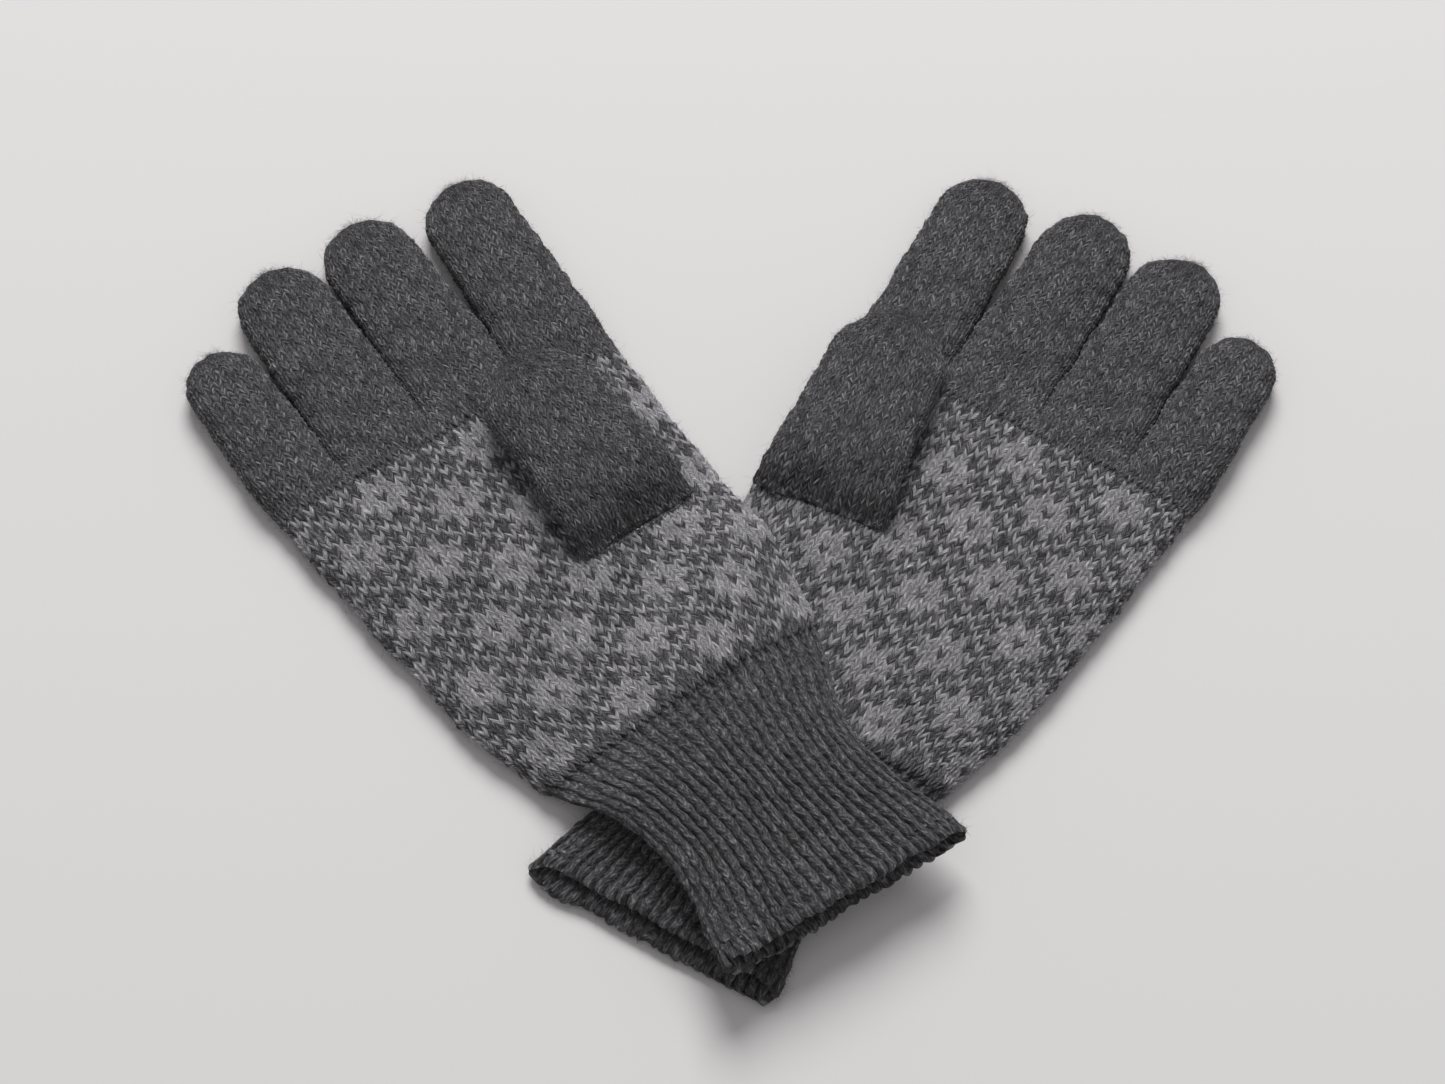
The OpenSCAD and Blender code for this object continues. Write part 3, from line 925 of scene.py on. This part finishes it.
def wave(tree, value, per_unit, power):
    """|sin(pi per_unit value)| to a power below 1: 0 at each crease and near 1 between them,
    the mask of the painted crease shade.
    """
    sine = calculate(tree, "SINE", calculate(tree, "MULTIPLY", value, math.pi * per_unit))
    return calculate(tree, "POWER", calculate(tree, "ABSOLUTE", sine), power)


# wale and course in mm, level of the painted crease shade, a brightness factor, streak size
WOOLS = {
    "ribbed_wool": wool("ribbed_wool", 3.1, RIB_COURSE, 0.24, 0.83, (0.65, 1.3)),
    "patterned_wool": wool("patterned_wool", 2.6, 2.18, 0.5, 0.98, (1.9, 0.8), two_yarns=True),
    "plain_wool": wool("plain_wool", 2.05, PLAIN_COURSE, 0.42, 1.0, (1.9, 0.8)),
}

# ---------------------------------------------------------------- the pair


def finish_piece(glove, part, piece, slot, bend=None):
    """Gives a part its wool and ties it to its body; when bend is given, it only bakes the
    part's transform and leaves it untied. It hides the piece's CAD node when a piece is named.
    """
    part.data.materials.append(WOOLS[slot])
    if bend is None:
        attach(part, glove.body)
    else:
        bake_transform(part)
    if piece:
        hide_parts(f"{glove.side}_{piece}")


def fibres(area, piece):
    """How many loose fibres an area in mm2 gets. A hem has more of them."""
    return int(area * FIBRES * (2.2 if piece == "hem" else 1))


def point_in_world(glove, x, y, z):
    """One of the glove's own points as a vector in metres."""
    return Vector(glove.world(np.array([x, y, z], float)))


def measure_digits(glove):
    """Reads the fingers and the thumb from the frame, and the place of the thumb's root."""
    side = glove.side
    glove.digits = {}
    for name in FINGERS:
        glove.digits[name] = Digit(glove.local(vertices(f"{side}_{name}_finger")))
    swing = JOINTS[f"{side}_thumb_swing"]
    plan = np.array(swing["axis"][:2]) * glove.mirror
    turn = math.atan2(plan @ glove.along, plan @ glove.across)
    root = glove.local(np.array(swing["pos_m"], float) / MM)
    roll = math.radians(THUMB_ROLL[side])
    lean = np.array([[math.cos(roll), 0, math.sin(roll)], [0, 1, 0], [-math.sin(roll), 0, math.cos(roll)]])
    spin = np.array([[math.cos(turn), -math.sin(turn), 0], [math.sin(turn), math.cos(turn), 0], [0, 0, 1]])
    own = (glove.local(vertices(f"{side}_thumb")) - root) @ (spin @ lean)
    glove.digits["thumb"] = Digit(own)
    glove.digits["thumb"].half = (own[:, 0].max() - own[:, 0].min()) / 2
    glove.digits["thumb"].length -= THUMB_TRIM[side]
    glove.thumb_root = root + [0, THUMB_SHIFT[side], 0]
    glove.thumb_turn = spin @ lean
    glove.joint_root = root
    glove.columns = finger_columns(glove)


def build(glove):
    """Makes every piece of a glove with its loose fibres."""
    side = glove.side
    measure_digits(glove)
    hem_top = glove.node_box("hem")[1][1]
    courses = round((glove.cuff_top - hem_top) / RIB_COURSE)
    hem = ribbed(glove, "hem", 0.0, hem_top, HEM_COURSES, (0.6, 0), glove.seed + 1)
    cuff = ribbed(glove, "cuff", hem_top, glove.cuff_top, courses, (0, 1.0), glove.seed + 2)
    jobs = [("hem", "ribbed_wool", *hem, None), ("cuff", "ribbed_wool", *cuff, None)]
    jobs.append(("hand", "patterned_wool", *hand(glove)))
    jobs.append(("finger_base", "plain_wool", *finger_base(glove), None))
    jobs.append(("thumb", "plain_wool", *thumb(glove), None))
    for number, name in enumerate(FINGERS):
        jobs.append((f"{name}_finger", "plain_wool", *finger(glove, number), None))
    for piece, slot, part, outer, knit, yarn in jobs:
        bend = None
        if piece == "thumb":
            ahead = glove.thumb_place(np.array([0.0, 16.0, 0.0]))
            start = point_in_world(glove, *glove.joint_root)
            bend = (f"{side}_thumb", start, point_in_world(glove, *ahead))
        elif piece.endswith("_finger"):
            name = piece[:-7]
            middle = glove.digits[name].centre
            bend = (f"{side}_{name}", point_in_world(glove, middle, glove.knuckle - 1, 4),
                    point_in_world(glove, middle, glove.knuckle + 18, 4))
        finish_piece(glove, part, piece, slot, bend)
        ring = np.linalg.norm(np.diff(outer[::6], axis=0), axis=-1).sum(0).mean()
        girth = np.linalg.norm(np.diff(outer, axis=1), axis=-1).sum(1).mean()
        count = fibres(ring * girth, piece)
        seed = glove.seed + 40 + len(piece)
        loose = fuzz(glove, f"{side}_{piece}_fuzz", outer, knit, yarn, count, seed)
        finish_piece(glove, loose, None, slot, bend)
    rim = thumb_rim(glove)
    finish_piece(glove, rim, "thumb_rim", "plain_wool")


for glove in GLOVES:
    build(glove)

# ---------------------------------------------------------------- studio

floor_mesh = bpy.data.meshes.new("floor")
floor_mesh.from_pydata([(-6, -6, 0), (6, -6, 0), (6, 6, 0), (-6, 6, 0)], [], [(0, 1, 2, 3)])
floor = bpy.data.objects.new("floor", floor_mesh)
bpy.context.scene.collection.objects.link(floor)
paper = bpy.data.materials.new("paper")
paper.use_nodes = True
paper.node_tree.nodes["Principled BSDF"].inputs["Base Color"].default_value = (0.80, 0.775, 0.777, 1)
paper.node_tree.nodes["Principled BSDF"].inputs["Roughness"].default_value = 0.9
paper.node_tree.nodes["Principled BSDF"].inputs["Specular IOR Level"].default_value = 0.1
floor_mesh.materials.append(paper)

world = bpy.data.worlds.new("studio")
bpy.context.scene.world = world
world.use_nodes = True
world.node_tree.nodes["Background"].inputs["Color"].default_value = (1, 1, 1, 1)
world.node_tree.nodes["Background"].inputs["Strength"].default_value = 0.32


def soft_light(name, place, aim, size, watts):
    """A round soft light at a place, turned to its aim."""
    light = bpy.data.lights.new(name, "AREA")
    light.shape = "DISK"
    light.size = size
    light.energy = watts
    lamp = bpy.data.objects.new(name, light)
    lamp.location = place
    lamp.rotation_mode = "QUATERNION"
    lamp.rotation_quaternion = (Vector(aim) - Vector(place)).to_track_quat("-Z", "Y")
    bpy.context.scene.collection.objects.link(lamp)


soft_light("key", (0.0, 2.6, 2.2), (0, 0.08, 0), 1.9, 102)

TARGET = Vector((-0.007, 0.077, 0))
DISTANCE = 0.71
TILT = math.radians(62)
camera_data = bpy.data.cameras.new("camera")
camera_data.sensor_width = 36
camera_data.lens = 62.8
camera = bpy.data.objects.new("camera", camera_data)
camera.location = TARGET + DISTANCE * Vector((0, -math.cos(TILT), math.sin(TILT)))
camera.rotation_mode = "QUATERNION"
camera.rotation_quaternion = (TARGET - camera.location).to_track_quat("-Z", "Y")
bpy.context.scene.collection.objects.link(camera)
bpy.context.scene.camera = camera
bpy.context.scene.view_settings.view_transform = "Standard"
